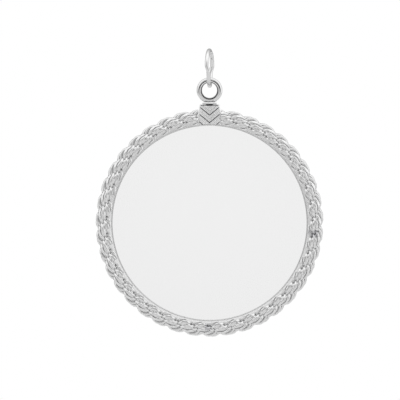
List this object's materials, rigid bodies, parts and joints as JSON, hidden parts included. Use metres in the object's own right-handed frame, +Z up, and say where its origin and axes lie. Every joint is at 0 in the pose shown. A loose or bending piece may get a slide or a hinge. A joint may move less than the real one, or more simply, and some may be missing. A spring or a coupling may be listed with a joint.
{
  "type": "disc pendant",
  "caption": "Flat round blank disc pendant in a twisted rope rim, with a chevron hanger, a soldered eyelet and a jump ring for a chain.",
  "frame": {"origin": "inside top of the jump ring, where a chain bears", "axes": "+Z up, as the pendant hangs; +Y away from the viewer, through the disc; +X to the viewer's right"},
  "size_m": [0.0208, 0.0036, 0.0264],
  "materials": {
    "polished_disc": "mirror-polished white metal, blank on both faces",
    "rope_metal": "bright link rope, its crests polished flat, darker between the links",
    "hanger_metal": "bright cast ribs with darker grooves",
    "ring_metal": "polished round wire"
  },
  "bodies": {
    "ring": {"jump_ring": "ring_metal"},
    "pendant": {"disc_plate": "polished_disc", "rope_strand_a": "rope_metal", "rope_strand_b": "rope_metal", "hanger": "hanger_metal"}
  },
  "joints": [
    {"name": "swing", "type": "hinge", "parent": "ring", "child": "pendant", "pos_m": [0, 0, -0.00306], "axis": [0.1564, 0.9877, 0], "range_deg": [-90, 90]}
  ]
}
